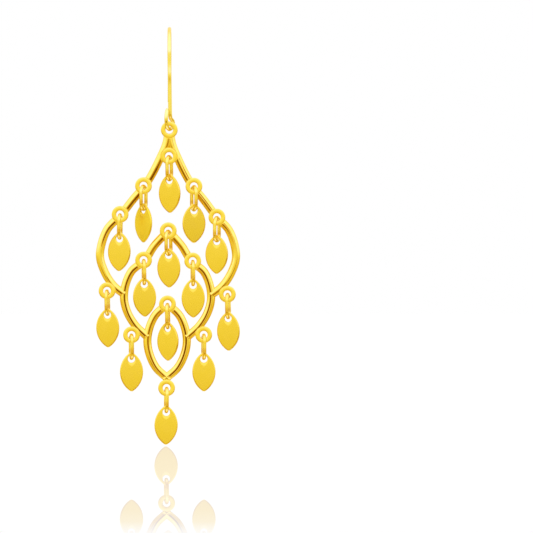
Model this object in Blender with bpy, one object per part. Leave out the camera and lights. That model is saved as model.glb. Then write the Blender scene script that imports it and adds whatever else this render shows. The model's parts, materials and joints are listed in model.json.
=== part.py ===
"""Chandelier earring: a wire hook, a cast frame of three nested tiers, and marquise drops on oval links.

Metres, +Z up, the front faces -Y. The origin is the underside of the hook's arch, where it rests in
the ear.
"""

import math
from collections import namedtuple

import bmesh
import bpy
from mathutils import Matrix, Vector

# Link wire, its play in a ring and in a drop's hole, and the gap left where it bears on each
LINK_WIRE_D = 0.00068
RING_PLAY = 0.00035
DROP_PLAY = 0.00033
RING_SEAT_GAP = 0.00026
DROP_SEAT_GAP = 0.00019
LINK_SIDE_GAP = 0.00040
LINK_SLACK = 0.00210

# Flat rings of the frame: rim from hole to edge, and thickness
RING_RIM = 0.00083
RING_T = 0.00062

# Marquise drops: outline, thickness, and the metal left above the hole
DROP_L = 0.00705
DROP_W = 0.00420
DROP_T = 0.00046
DROP_TIP_R = 0.00050
DROP_RIM = 0.00054

# Domed limbs of the frame. Their backs lie just within the rings' backs, each tier a step further in,
# and their domes stand higher than the rings' faces, which are cut flat into them
LIMB_W = 0.00150
LIMB_T = 0.00082
TIER_STEP = 0.00002
RING_PROUD = 0.00003
LIMB_EDGE = 0.00018
LIMB_BACK_CHAMFER = 0.00010

# Hook
HOOK_WIRE_D = 0.00068
ARCH_R = 0.00450
SHANK_DROP = 0.01558
TAIL_DROP = 0.01300
TAIL_FLICK = 0.00055
SHANK_SWAY = 0.00014
EYE_H = 0.00220
EYE_SIDE_GAP = 0.00042
EYE_SEAT_GAP = 0.00023
EYE_TURN = math.radians(24)

# Room in the frame's bays, between the drops that hang there and the metal round them
APEX_RING_DOWN = 0.00472
MIDDLE_TIER_GAP = 0.00171
LOWER_TIER_GAP = 0.00143
POINT_GAP = 0.00305
SHOULDER_BAY_GAP = 0.00059
INNER_BAY_GAP = 0.00053
CENTRE_BAY_GAP = 0.00070

# How far a ring's centre lies outside its limb, and how far the outer rings lap into the metal
ON_LIMB = 0.00018
OUTER_LAP = 0.00060
BOTTOM_LAP = 0.00118
POINT_OVERRUN = 0.00060
FRAME_LEAN = math.radians(0.6)

# Facets
HOOK_BEVEL_STEPS = 2
LINK_BEVEL_STEPS = 1
LINK_END_STEPS = 6
RING_SIDES = 24
HOLE_SIDES = 16
DROP_SIDE_STEPS = 9
DROP_TIP_STEPS = 3
DOME_STEPS = 6
LIMB_STEP = 0.00105
HOOK_STEP = 0.00045
TAIL_STEP = 0.00180
ARCH_STEPS = 20
WELD = 1e-7

LINK_R = LINK_WIRE_D / 2
HOOK_R = HOOK_WIRE_D / 2
RING_HOLE_R = LINK_R + RING_PLAY
RING_R = RING_HOLE_R + RING_RIM
DROP_HOLE_R = LINK_R + DROP_PLAY
LINK_HALF_W = RING_T / 2 + LINK_SIDE_GAP + LINK_R
LINK_H = RING_RIM + DROP_RIM + LINK_SLACK + LINK_WIRE_D
LINK_SET = RING_PLAY - RING_SEAT_GAP
DROP_SET = DROP_PLAY - DROP_SEAT_GAP
DROP_BELOW_HOLE = DROP_L - DROP_RIM - DROP_HOLE_R
HANG = LINK_SET + LINK_H + DROP_SET + DROP_BELOW_HOLE
EYE_HALF_W = RING_T / 2 + EYE_SIDE_GAP + HOOK_R
EYE_BOTTOM = Vector((0, -ARCH_R, -SHANK_DROP - EYE_H))
TOP_RING = EYE_BOTTOM - Vector((0, 0, RING_HOLE_R - HOOK_R - EYE_SEAT_GAP))

Share = namedtuple("Share", "down out")
Tier = namedtuple("Tier", "top height half_width")
Ring = namedtuple("Ring", "name side place link_turn drop_turn sway")

# Centrelines of half of each tier, as shares of its height and half width, from the top down
UPPER_SHAPE = (
    Share(0.027, 0.016),
    Share(0.073, 0.035),
    Share(0.182, 0.141),
    Share(0.342, 0.355),
    Share(0.424, 0.520),
    Share(0.522, 0.703),
    Share(0.606, 0.893),
    Share(0.694, 0.976),
    Share(0.771, 1.000),
    Share(0.855, 0.941),
    Share(0.956, 0.779),
)
MIDDLE_SHAPE = (
    Share(0.000, 0.000),
    Share(0.141, 0.315),
    Share(0.281, 0.536),
    Share(0.384, 0.834),
    Share(0.495, 0.958),
    Share(0.646, 1.000),
    Share(0.776, 0.913),
    Share(0.891, 0.736),
)
LOWER_SHAPE = (
    Share(0.000, 0.000),
    Share(0.158, 0.620),
    Share(0.331, 0.907),
    Share(0.511, 1.000),
    Share(0.699, 0.862),
    Share(0.865, 0.544),
    Share(1.000, 0.000),
)

# Where the feet of a tier land on the next one, as a share of that one's height
ON_MIDDLE_TIER = 0.60
ON_LOWER_TIER = 0.45

# Where the outermost drop of a tier hangs, as a share of the tier's half width
SHOULDER_RING_OUT = 0.719
INNER_RING_OUT = 0.568

# The tail's wire from its end up, as shares of its drop and of its flick away from the ear
TAIL_SHAPE = (
    Share(1.00, 1.00),
    Share(0.86, 0.35),
    Share(0.70, 0.00),
)

# The eye's wire in its own plane, from the shank round behind the ring, through it and up in front,
# as shares of the eye's height and half width
EYE_SHAPE = (
    Share(1.40, 0.00),
    Share(1.08, -0.08),
    Share(0.88, -0.60),
    Share(0.70, -1.30),
    Share(0.46, -1.60),
    Share(0.20, -1.20),
    Share(0.04, -0.55),
    Share(0.00, 0.00),
    Share(0.07, 0.55),
    Share(0.36, 1.06),
    Share(0.80, 1.24),
    Share(1.30, 1.12),
    Share(1.73, 0.90),
)


def smooth_path(points, step):
    """Points about step apart on the curve of cubic stretches that runs through all of these points."""
    points = [Vector(point) for point in points]
    chords = [after - before for before, after in zip(points, points[1:])]
    lengths = [chord.length for chord in chords]
    ways = [chord / length for chord, length in zip(chords, lengths)]
    inner = [
        (ways[i] * lengths[i + 1] + ways[i + 1] * lengths[i]) / (lengths[i] + lengths[i + 1])
        for i in range(len(ways) - 1)
    ]
    slopes = [ways[0], *inner, ways[-1]]
    path = [points[0]]
    for i, length in enumerate(lengths):
        count = max(1, math.ceil(length / step))
        for k in range(1, count + 1):
            u = k / count
            start = points[i] * (2 * u**3 - 3 * u**2 + 1) + slopes[i] * length * (u**3 - 2 * u**2 + u)
            end = points[i + 1] * (3 * u**2 - 2 * u**3) + slopes[i + 1] * length * (u**3 - u**2)
            path.append(start + end)
    return path


def bay_half_width(ring_out, gap):
    """Half width of a tier that clears, by gap, a drop hung at ring_out of that half width."""
    return (DROP_W / 2 + gap + LIMB_W / 2) / (1 - ring_out)


def limb_path(tier, shape, foot=None):
    """The centreline of half a tier as (out, -down) points, ending at its foot on the next tier."""
    rows = [(tier.half_width * row.out, -tier.top - tier.height * row.down) for row in shape]
    if foot:
        rows.append(foot)
    return smooth_path(rows, LIMB_STEP)


def beside(path, along, off):
    """The (out, down) place a share along of the way down a limb, and off to its outer side."""
    lengths = [(after - before).length for before, after in zip(path, path[1:])]
    left = along * sum(lengths)
    for i, length in enumerate(lengths):
        if left <= length:
            break
        left -= length
    way = (path[i + 1] - path[i]).normalized()
    point = path[i] + way * left + Vector((-way.y, way.x)) * off
    return point.x, -point.y


# The three tiers, each as tall and wide as the drops inside it need
middle_top = APEX_RING_DOWN + HANG + RING_R + MIDDLE_TIER_GAP
lower_top = middle_top + HANG + RING_R + LOWER_TIER_GAP
lower = Tier(lower_top, HANG + POINT_GAP, DROP_W / 2 + CENTRE_BAY_GAP + LIMB_W / 2)
middle_foot = (lower.half_width, -lower.top - lower.height * ON_LOWER_TIER)
middle = Tier(middle_top, -middle_foot[1] - middle_top, bay_half_width(INNER_RING_OUT, INNER_BAY_GAP))
upper_foot = (middle.half_width, -middle.top - middle.height * ON_MIDDLE_TIER)
upper = Tier(0, -upper_foot[1], bay_half_width(SHOULDER_RING_OUT, SHOULDER_BAY_GAP))

upper_limb = limb_path(upper, UPPER_SHAPE, upper_foot)
middle_limb = limb_path(middle, MIDDLE_SHAPE, middle_foot)
lower_limb = limb_path(lower, LOWER_SHAPE)

# The rings that carry links, with each link's and drop's turn about the vertical and how far they
# hang out of plumb, to the right, in degrees
OUTSIDE = RING_R + LIMB_W / 2 - OUTER_LAP
BELOW_POINT = RING_R + LIMB_W - BOTTOM_LAP
RINGS = (
    Ring("apex", 1, (0, APEX_RING_DOWN), -21, -24, 1.0),
    Ring("upper_left", -1, beside(upper_limb, 0.305, ON_LIMB), -24, -45, 0),
    Ring("upper_right", 1, beside(upper_limb, 0.305, ON_LIMB), 22, 10, 0),
    Ring("shoulder_left", -1, beside(upper_limb, 0.501, ON_LIMB), -10, -15, -1.2),
    Ring("shoulder_right", 1, beside(upper_limb, 0.509, 0), -22, -16, -0.3),
    Ring("middle", 1, (0, middle.top), -23, -9, 1.0),
    Ring("inner_left", -1, beside(middle_limb, 0.296, ON_LIMB), 6, 9, 1.4),
    Ring("inner_right", 1, beside(middle_limb, 0.301, ON_LIMB), 6, 0, 0.7),
    Ring("centre", 1, (0, lower.top), -8, -26, 0.7),
    Ring("outer_left", -1, beside(upper_limb, 0.925, OUTSIDE - ON_LIMB), -10, -9, 1.2),
    Ring("outer_right", 1, beside(upper_limb, 0.935, OUTSIDE), -11, -14, 1.2),
    Ring("lower_left", -1, beside(middle_limb, 0.903, OUTSIDE), 9, 7, 0.3),
    Ring("lower_right", 1, beside(middle_limb, 0.895, OUTSIDE), 8, 5, 0.3),
    Ring("bottom", 1, (0, lower.top + lower.height + BELOW_POINT), 7, 0, -0.8),
)


def new_group(name, is_shown):
    """A collection in the scene, kept out of renders unless is_shown."""
    group = bpy.data.collections.new(name)
    bpy.context.scene.collection.children.link(group)
    group.hide_render = not is_shown
    return group


def new_gold(name, color, roughness):
    """A polished yellow gold."""
    gold = bpy.data.materials.new(name)
    gold.use_nodes = True
    shader = gold.node_tree.nodes["Principled BSDF"]
    shader.inputs["Base Color"].default_value = (*color, 1)
    shader.inputs["Metallic"].default_value = 1
    shader.inputs["Roughness"].default_value = roughness
    gold.diffuse_color = (*color, 1)
    return gold


def add_object(name, data, group):
    """A new object of this data, in this group."""
    obj = bpy.data.objects.new(name, data)
    group.objects.link(obj)
    return obj


def new_curve(name, points, is_closed, dimensions="3D"):
    """Curve data with one straight-sided spline through these points."""
    curve = bpy.data.curves.new(name, "CURVE")
    curve.dimensions = dimensions
    add_spline(curve, points, is_closed)
    return curve


def add_spline(curve, points, is_closed):
    spline = curve.splines.new("POLY")
    spline.points.add(len(points) - 1)
    for target, point in zip(spline.points, points):
        target.co = (*Vector(point).to_3d(), 1)
    spline.use_cyclic_u = is_closed


def wire(name, points, radius, bevel, is_closed):
    """Curve data of a round wire."""
    curve = new_curve(name, points, is_closed)
    curve.bevel_depth = radius
    curve.bevel_resolution = bevel
    curve.use_fill_caps = not is_closed
    return curve


def evaluated_mesh(obj):
    """A new mesh of the object as its modifiers or bevel leave it, welded and facing outwards."""
    graph = bpy.context.evaluated_depsgraph_get()
    mesh = bpy.data.meshes.new_from_object(obj.evaluated_get(graph))
    shape = bmesh.new()
    shape.from_mesh(mesh)
    bmesh.ops.remove_doubles(shape, verts=shape.verts, dist=WELD)
    bmesh.ops.recalc_face_normals(shape, faces=shape.faces)
    shape.to_mesh(mesh)
    shape.free()
    return mesh


def mesh_in_place_of(curve_object, group):
    """A mesh object with the curve object's solid, name and place, made in its stead."""
    name = curve_object.name
    solid = bpy.data.objects.new(name, evaluated_mesh(curve_object))
    solid.matrix_world = curve_object.matrix_world
    bpy.data.objects.remove(curve_object)
    solid.name = name
    group.objects.link(solid)
    return solid


def disc(name, centre, radius, depth, sides, group):
    """A flat round blank or cutter, parallel to the frame's plane."""
    shape = bmesh.new()
    bmesh.ops.create_cone(
        shape, cap_ends=True, segments=sides, radius1=radius, radius2=radius, depth=depth,
        matrix=Matrix.Translation(centre),
    )
    mesh = bpy.data.meshes.new(name)
    shape.to_mesh(mesh)
    shape.free()
    add_object(name, mesh, group).display_type = "WIRE"


def limb_section(name, inset, group):
    """A limb's section: a flat back with chamfered corners, and an elliptical dome in front."""
    half = LIMB_W / 2
    back = inset - RING_T / 2
    edge = back + LIMB_EDGE
    rise = LIMB_T - 2 * inset - LIMB_EDGE
    points = [(LIMB_BACK_CHAMFER - half, back), (half - LIMB_BACK_CHAMFER, back)]
    for i in range(DOME_STEPS + 1):
        angle = math.pi * i / DOME_STEPS
        points.append((half * math.cos(angle), edge + rise * math.sin(angle)))
    return add_object(name, new_curve(name, points, True, "2D"), group)


def limb(name, path, side, section, group):
    """One domed limb along half a tier, on this side."""
    curve = new_curve(name, [(side * point.x, point.y) for point in path], False)
    curve.twist_mode = "Z_UP"
    curve.bevel_mode = "OBJECT"
    curve.bevel_object = section
    curve.use_fill_caps = True
    mesh_in_place_of(add_object(name, curve, group), group).display_type = "WIRE"


def past_point(path):
    """The lower limb's path, run on past the axis so that its two halves meet in a point."""
    way = (path[-1] - path[-2]).normalized()
    return [*path, path[-1] + way * POINT_OVERRUN]


def cast_frame(group):
    """The frame in its own plane: six limbs and fifteen rings in one body, pierced for the links."""
    limbs = new_group("limb_blanks", False)
    rings = new_group("ring_blanks", False)
    facing = new_group("facing_cutters", False)
    holes = new_group("hole_cutters", False)
    paths = {"upper": upper_limb, "middle": middle_limb, "lower": past_point(lower_limb)}
    for step, (tier, path) in enumerate(paths.items(), 1):
        section = limb_section(f"section_{tier}", step * TIER_STEP, facing)
        for side_name, side in (("left", -1), ("right", 1)):
            limb(f"limb_{tier}_{side_name}", path, side, section, limbs)
        bpy.data.objects.remove(section)
    places = [("top", 0, 0)] + [(ring.name, ring.side * ring.place[0], ring.place[1]) for ring in RINGS]
    for name, x, down in places:
        disc(f"ring_{name}", (x, -down, 0), RING_R, RING_T, RING_SIDES, rings)
        in_front = (x, -down, RING_T / 2 - RING_PROUD + LIMB_T / 2)
        disc(f"facing_{name}", in_front, RING_R + RING_PROUD, LIMB_T, RING_SIDES, facing)
        disc(f"hole_{name}", (x, -down, 0), RING_HOLE_R, 3 * RING_T, HOLE_SIDES, holes)
    first = limbs.objects["limb_upper_left"]
    frame = add_object("chandelier_frame", first.data, group)
    bpy.data.objects.remove(first)
    steps = (("UNION", limbs), ("DIFFERENCE", facing), ("UNION", rings), ("DIFFERENCE", holes))
    for operation, others in steps:
        modifier = frame.modifiers.new(others.name, "BOOLEAN")
        modifier.operation = operation
        modifier.operand_type = "COLLECTION"
        modifier.collection = others
        modifier.solver = "MANIFOLD"
    bpy.context.view_layer.update()
    frame.data = evaluated_mesh(frame)
    frame.modifiers.clear()
    return frame


def hook_path():
    """The hook's wire from the end of its tail, over the arch, down the shank and round the eye."""
    tail = [(0, ARCH_R + TAIL_FLICK * row.out, -TAIL_DROP * row.down) for row in TAIL_SHAPE]
    arch_centre = HOOK_R - ARCH_R
    arch = []
    for i in range(ARCH_STEPS + 1):
        angle = math.pi * i / ARCH_STEPS
        arch.append(Vector((0, ARCH_R * math.cos(angle), arch_centre + ARCH_R * math.sin(angle))))
    forward_left = Vector((-math.sin(EYE_TURN), -math.cos(EYE_TURN), 0))
    eye = [
        EYE_BOTTOM + forward_left * EYE_HALF_W * row.out + Vector((0, 0, EYE_H * row.down))
        for row in EYE_SHAPE
    ]
    for point in eye[:2]:
        point.x += SHANK_SWAY
    return smooth_path(tail, TAIL_STEP) + arch + smooth_path(eye, HOOK_STEP)


def link_points():
    """An oval link in the YZ plane, its top bar's centre at the origin."""
    points = []
    for centre, start in ((-LINK_HALF_W, 0), (LINK_HALF_W - LINK_H, math.pi)):
        for i in range(LINK_END_STEPS + 1):
            angle = start + math.pi * i / LINK_END_STEPS
            points.append((0, LINK_HALF_W * math.cos(angle), centre + LINK_HALF_W * math.sin(angle)))
    return points


def drop_outline():
    """A marquise with rounded tips, upright in XY, its hole's centre at the origin.

    Two arcs of one radius bound it, and a small arc tangent to both rounds each tip.
    """
    half_w = DROP_W / 2
    to_tip = DROP_L / 2 - DROP_TIP_R
    side_r = (to_tip**2 + half_w**2 - DROP_TIP_R**2) / (2 * (half_w - DROP_TIP_R))
    reach = math.atan2(to_tip, side_r - half_w)
    middle_y = DROP_L / 2 - DROP_BELOW_HOLE
    points = []
    for side in (1, -1):
        for i in range(DROP_SIDE_STEPS + 1):
            angle = reach * (2 * i / DROP_SIDE_STEPS - 1)
            x = side_r * math.cos(angle) - (side_r - half_w)
            points.append((side * x, side * side_r * math.sin(angle) + middle_y))
        for i in range(1, DROP_TIP_STEPS):
            angle = reach + (math.pi - 2 * reach) * i / DROP_TIP_STEPS
            x = DROP_TIP_R * math.cos(angle)
            points.append((side * x, side * (to_tip + DROP_TIP_R * math.sin(angle)) + middle_y))
    return points


def hole_outline():
    """A drop's hole, round the origin."""
    angles = [2 * math.pi * i / HOLE_SIDES for i in range(HOLE_SIDES)]
    return [(DROP_HOLE_R * math.cos(angle), DROP_HOLE_R * math.sin(angle)) for angle in angles]


def below(distance):
    """A move straight down."""
    return Matrix.Translation((0, 0, -distance))


def turned(degrees):
    """A turn about the vertical."""
    return Matrix.Rotation(math.radians(degrees), 4, "Z")


def place(obj, pivot, matrix, gold):
    """Hangs the object from the swing's pivot at this place in the world, in this gold."""
    obj.parent = pivot
    obj.matrix_local = Matrix.Translation(-pivot.location) @ matrix
    obj.data.materials.clear()
    obj.data.materials.append(gold)


def build():
    for old in list(bpy.data.objects):
        bpy.data.objects.remove(old)
    earring = new_group("chandelier_earring", True)

    hook = wire("ear_hook", hook_path(), HOOK_R, HOOK_BEVEL_STEPS, False)
    hook.materials.append(new_gold("hook_gold", (0.94, 0.80, 0.36), 0.16))
    add_object("ear_hook", hook, earring)

    pivot = add_object("swing_pivot", None, earring)
    pivot.location = EYE_BOTTOM
    upright = Matrix.Rotation(math.pi / 2, 4, "X")
    frame_place = Matrix.Translation(TOP_RING) @ Matrix.Rotation(FRAME_LEAN, 4, "Y") @ upright
    frame = cast_frame(earring)
    place(frame, pivot, frame_place, new_gold("frame_gold", (0.92, 0.70, 0.16), 0.18))

    link = wire("link", link_points(), LINK_R, LINK_BEVEL_STEPS, True)
    drop = new_curve("drop", drop_outline(), True, "2D")
    add_spline(drop, hole_outline(), True)
    drop.fill_mode = "BOTH"
    drop.extrude = DROP_T / 2
    link_gold = new_gold("link_gold", (0.92, 0.72, 0.20), 0.20)
    drop_gold = new_gold("drop_gold", (0.88, 0.65, 0.10), 0.24)
    for ring in RINGS:
        centre = frame_place @ Vector((ring.side * ring.place[0], -ring.place[1], 0))
        hang = Matrix.Translation(centre) @ Matrix.Rotation(math.radians(-ring.sway), 4, "Y")
        link_place = hang @ below(LINK_SET) @ turned(ring.link_turn)
        drop_place = hang @ below(LINK_SET + LINK_H + DROP_SET) @ turned(ring.drop_turn) @ upright
        place(add_object(f"link_{ring.name}", link, earring), pivot, link_place, link_gold)
        place(add_object(f"drop_{ring.name}", drop, earring), pivot, drop_place, drop_gold)


build()
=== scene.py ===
"""The looks of a chandelier earring in polished yellow gold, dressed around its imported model.

Metres, +Z up, the front faces -Y. The origin is the underside of the hook's arch.
"""

import json
import math
from collections import namedtuple

import bpy
import numpy as np
from mathutils import Matrix, Vector

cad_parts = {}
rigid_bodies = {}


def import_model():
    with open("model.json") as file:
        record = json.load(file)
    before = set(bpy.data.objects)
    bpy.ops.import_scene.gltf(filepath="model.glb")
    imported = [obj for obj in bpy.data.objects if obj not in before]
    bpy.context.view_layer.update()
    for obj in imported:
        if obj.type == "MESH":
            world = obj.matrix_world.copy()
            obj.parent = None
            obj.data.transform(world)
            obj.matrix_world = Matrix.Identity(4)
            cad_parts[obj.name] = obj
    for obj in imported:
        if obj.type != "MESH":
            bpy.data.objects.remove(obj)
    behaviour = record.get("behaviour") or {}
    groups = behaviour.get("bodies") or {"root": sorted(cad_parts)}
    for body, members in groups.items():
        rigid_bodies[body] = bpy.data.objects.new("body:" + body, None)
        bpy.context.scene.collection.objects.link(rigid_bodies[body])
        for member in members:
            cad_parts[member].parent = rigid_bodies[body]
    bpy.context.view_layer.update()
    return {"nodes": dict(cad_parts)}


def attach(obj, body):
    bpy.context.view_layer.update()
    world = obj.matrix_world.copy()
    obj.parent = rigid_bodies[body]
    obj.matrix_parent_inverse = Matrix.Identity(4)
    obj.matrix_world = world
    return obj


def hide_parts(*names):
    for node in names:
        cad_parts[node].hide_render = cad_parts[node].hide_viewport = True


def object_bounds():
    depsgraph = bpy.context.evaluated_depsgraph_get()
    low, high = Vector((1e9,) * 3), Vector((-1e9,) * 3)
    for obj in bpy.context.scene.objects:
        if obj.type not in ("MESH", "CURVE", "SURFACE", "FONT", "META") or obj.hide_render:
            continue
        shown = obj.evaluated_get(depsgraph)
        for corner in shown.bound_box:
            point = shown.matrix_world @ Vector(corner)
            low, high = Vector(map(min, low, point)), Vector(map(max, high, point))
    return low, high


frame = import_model()


# The cast frame. The real one is cast in yellow gold as one openwork piece: three nested tiers of domed
# limbs, with flat pierced rings soldered where the hook and the links go. It is filed, rounded at every
# edge and polished bright, and shade is painted dark into the fine creases along its limbs.

# The limbs and the rings. Each tier inward is thinner by TIER_STEP at the front and at the back.
LIMB_W = 0.00150
LIMB_T = 0.00082
LIMB_EDGE = 0.00018
LIMB_BACK_ROUND = 0.00010
TIER_STEP = 0.00002
RING_T = 0.00062
RING_RIM = 0.00083
RING_HOLE_R = 0.00069
RING_R = RING_HOLE_R + RING_RIM
RING_ROUND = 0.00013
RING_PROUD = 0.00004
RING_LAP = 0.00030
FRAME_LEAN = math.radians(0.6)
POINT_PAST = 0.4
SHARP_ANGLE = math.radians(38)
LARGE_FACE_WEIGHT = 100
LIMB_STEP = 0.00022
DOME_STEPS = 48
CREASE_DEEP = 0.00009
CORNER_STEPS = 5
RING_STEPS = 72

# The middle of the hook's wire at the bottom of its eye, and how far below it the top ring's middle hangs
EYE_BOTTOM = Vector((0, -0.0045, -0.01778))
TOP_RING_DOWN = Vector((0, 0, 0.00012))

# Room in the bays, and what hangs in them
DROP_L = 0.00705
DROP_W = 0.00420
HANG = 0.01022
APEX_RING_DOWN = 0.00472
MIDDLE_TIER_GAP = 0.00171
LOWER_TIER_GAP = 0.00143
POINT_GAP = 0.00305
SHOULDER_BAY_GAP = 0.00059
INNER_BAY_GAP = 0.00053
CENTRE_BAY_GAP = 0.00070
ON_MIDDLE_TIER = 0.60
ON_LOWER_TIER = 0.45
SHOULDER_RING_OUT = 0.719
INNER_RING_OUT = 0.568

# How far the outer rings and the bottom ring lap into the metal, and how far a ring's centre lies outside
# its limb or below the lower tier's point
OUTER_LAP = 0.00060
BOTTOM_LAP = 0.00118
ON_LIMB = 0.00018
OUTSIDE = RING_R + LIMB_W / 2 - OUTER_LAP
BELOW_POINT = RING_R + LIMB_W - BOTTOM_LAP

Share = namedtuple("Share", "down out")
Tier = namedtuple("Tier", "top height half_width")
Ring = namedtuple("Ring", "side limb along off")

# Centrelines of half of each tier, as shares of its height and half width, from the top down
UPPER_SHAPE = (
    Share(0.027, 0.016),
    Share(0.073, 0.035),
    Share(0.182, 0.141),
    Share(0.342, 0.355),
    Share(0.424, 0.520),
    Share(0.522, 0.703),
    Share(0.606, 0.893),
    Share(0.694, 0.976),
    Share(0.771, 1.000),
    Share(0.855, 0.941),
    Share(0.956, 0.779),
)
MIDDLE_SHAPE = (
    Share(0.000, 0.000),
    Share(0.141, 0.315),
    Share(0.281, 0.536),
    Share(0.384, 0.834),
    Share(0.495, 0.958),
    Share(0.646, 1.000),
    Share(0.776, 0.913),
    Share(0.891, 0.736),
)
LOWER_SHAPE = (
    Share(0.000, 0.000),
    Share(0.158, 0.620),
    Share(0.331, 0.907),
    Share(0.511, 1.000),
    Share(0.699, 0.862),
    Share(0.865, 0.544),
    Share(1.000, 0.000),
)

# The fine creases that run down the limbs. A row has the share of the way down the limb and, there, the
# crease's place outward from the middle as a share of the half width, its width and its share of the full
# depth. The right upper limb has a second, finer one beside its crown.
Crease = namedtuple("Crease", "along across width share")
CREASES = {
    "upper": (
        Crease(0.00, -0.34, 0.00010, 0.6),
        Crease(0.14, -0.34, 0.00012, 0.6),
        Crease(0.20, -0.36, 0.00018, 0.8),
        Crease(0.48, -0.32, 0.00015, 0.9),
        Crease(0.60, -0.22, 0.00012, 1.0),
        Crease(0.67, -0.17, 0.00010, 0.9),
        Crease(0.71, -0.15, 0.00008, 0.1),
        Crease(0.86, 0.10, 0.00008, 0.1),
        Crease(0.93, 0.20, 0.00011, 0.9),
        Crease(1.00, 0.25, 0.00012, 1.0),
    ),
    "middle": (
        Crease(0.00, -0.36, 0.00017, 1.0),
        Crease(0.22, -0.30, 0.00012, 0.4),
        Crease(0.40, -0.20, 0.00013, 1.0),
        Crease(0.70, -0.08, 0.00012, 1.0),
        Crease(0.88, 0.14, 0.00012, 1.0),
        Crease(1.00, 0.20, 0.00012, 1.0),
    ),
    "lower": (
        Crease(0.00, -0.26, 0.00012, 0.8),
        Crease(0.50, -0.14, 0.00014, 1.0),
        Crease(0.75, -0.02, 0.00013, 1.0),
        Crease(0.94, 0.16, 0.00012, 1.0),
        Crease(1.00, 0.18, 0.00010, 0.0),
    ),
    "upper_crown": (
        Crease(0.00, 0.30, 0.00007, 0.0),
        Crease(0.13, 0.30, 0.00007, 0.0),
        Crease(0.20, 0.26, 0.00007, 1.0),
        Crease(0.40, 0.16, 0.00008, 1.0),
        Crease(0.52, 0.10, 0.00007, 0.8),
        Crease(0.70, 0.05, 0.00006, 0.3),
        Crease(1.00, 0.00, 0.00006, 0.0),
    ),
}

# The creases of each half tier, -1 for the left, and how much of its depth each one keeps there
LimbCrease = namedtuple("LimbCrease", "kind weight")
LIMB_CREASES = {
    ("upper", -1): (LimbCrease("upper", 1.0),),
    ("upper", 1): (LimbCrease("upper", 0.30), LimbCrease("upper_crown", 0.6)),
    ("middle", -1): (LimbCrease("middle", 1.0),),
    ("middle", 1): (LimbCrease("middle", 0.9),),
    ("lower", -1): (LimbCrease("lower", 0.75),),
    ("lower", 1): (LimbCrease("lower", 1.0),),
}

# Rings set on a limb, by their share of the way down it
LIMB_RINGS = (
    Ring(-1, "upper", 0.305, ON_LIMB),
    Ring(1, "upper", 0.305, ON_LIMB),
    Ring(-1, "upper", 0.501, ON_LIMB),
    Ring(1, "upper", 0.509, 0),
    Ring(-1, "middle", 0.296, ON_LIMB),
    Ring(1, "middle", 0.301, ON_LIMB),
    Ring(-1, "upper", 0.925, OUTSIDE - ON_LIMB),
    Ring(1, "upper", 0.935, OUTSIDE),
    Ring(-1, "middle", 0.903, OUTSIDE),
    Ring(1, "middle", 0.895, OUTSIDE),
)


def bay_half_width(ring_out, gap):
    """Half width of a tier that clears, by gap, a drop hung at ring_out of that half width."""
    return (DROP_W / 2 + gap + LIMB_W / 2) / (1 - ring_out)


def curve_through(points, step):
    """Points about step apart on cubic stretches through all of these points.

    The slope at a point is the directions of the chords beside it, the shorter one weighing more.
    """
    points = np.array(points, float)
    chords = np.diff(points, axis=0)
    lengths = np.linalg.norm(chords, axis=1)
    ways = chords / lengths[:, None]
    before = lengths[:-1, None]
    after = lengths[1:, None]
    inner = (ways[:-1] * after + ways[1:] * before) / (before + after)
    slopes = np.vstack([ways[:1], inner, ways[-1:]])
    stretches = []
    for i, length in enumerate(lengths):
        u = np.linspace(0, 1, math.ceil(length / step), endpoint=False)[:, None]
        start = points[i] * (2 * u**3 - 3 * u**2 + 1) + slopes[i] * length * (u**3 - 2 * u**2 + u)
        end = points[i + 1] * (3 * u**2 - 2 * u**3) + slopes[i + 1] * length * (u**3 - u**2)
        stretches.append(start + end)
    return np.vstack([*stretches, points[-1:]])


def limb_path(tier, shape, foot=None):
    """The centreline of half a tier in the frame's plane, ending at its foot on the next tier."""
    rows = [(tier.half_width * row.out, -tier.top - tier.height * row.down, 0) for row in shape]
    if foot:
        rows.append((*foot, 0))
    return curve_through(rows, LIMB_STEP)


def beside(path, along, off):
    """The place a share along of the way down a limb, and off to its outer side."""
    steps = np.diff(path, axis=0)
    lengths = np.linalg.norm(steps, axis=1)
    so_far = np.append(0, np.cumsum(lengths))
    at = along * so_far[-1]
    point = np.array([np.interp(at, so_far, path[:, axis]) for axis in range(3)])
    way = steps[np.searchsorted(so_far, at) - 1]
    outward = np.array([-way[1], way[0], 0]) / np.linalg.norm(way)
    return point + outward * off


def grid_quads(rows, columns, is_looped):
    """Quads over a grid whose columns close into rounds, and whose rows do too if is_looped."""
    index = np.arange(rows * columns).reshape(rows, columns)
    if is_looped:
        index = np.vstack([index, index[:1]])
    index = np.hstack([index, index[:, :1]])
    corners = (index[:-1, :-1], index[:-1, 1:], index[1:, 1:], index[1:, :-1])
    return np.stack(corners, -1).reshape(-1, 4)


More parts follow.
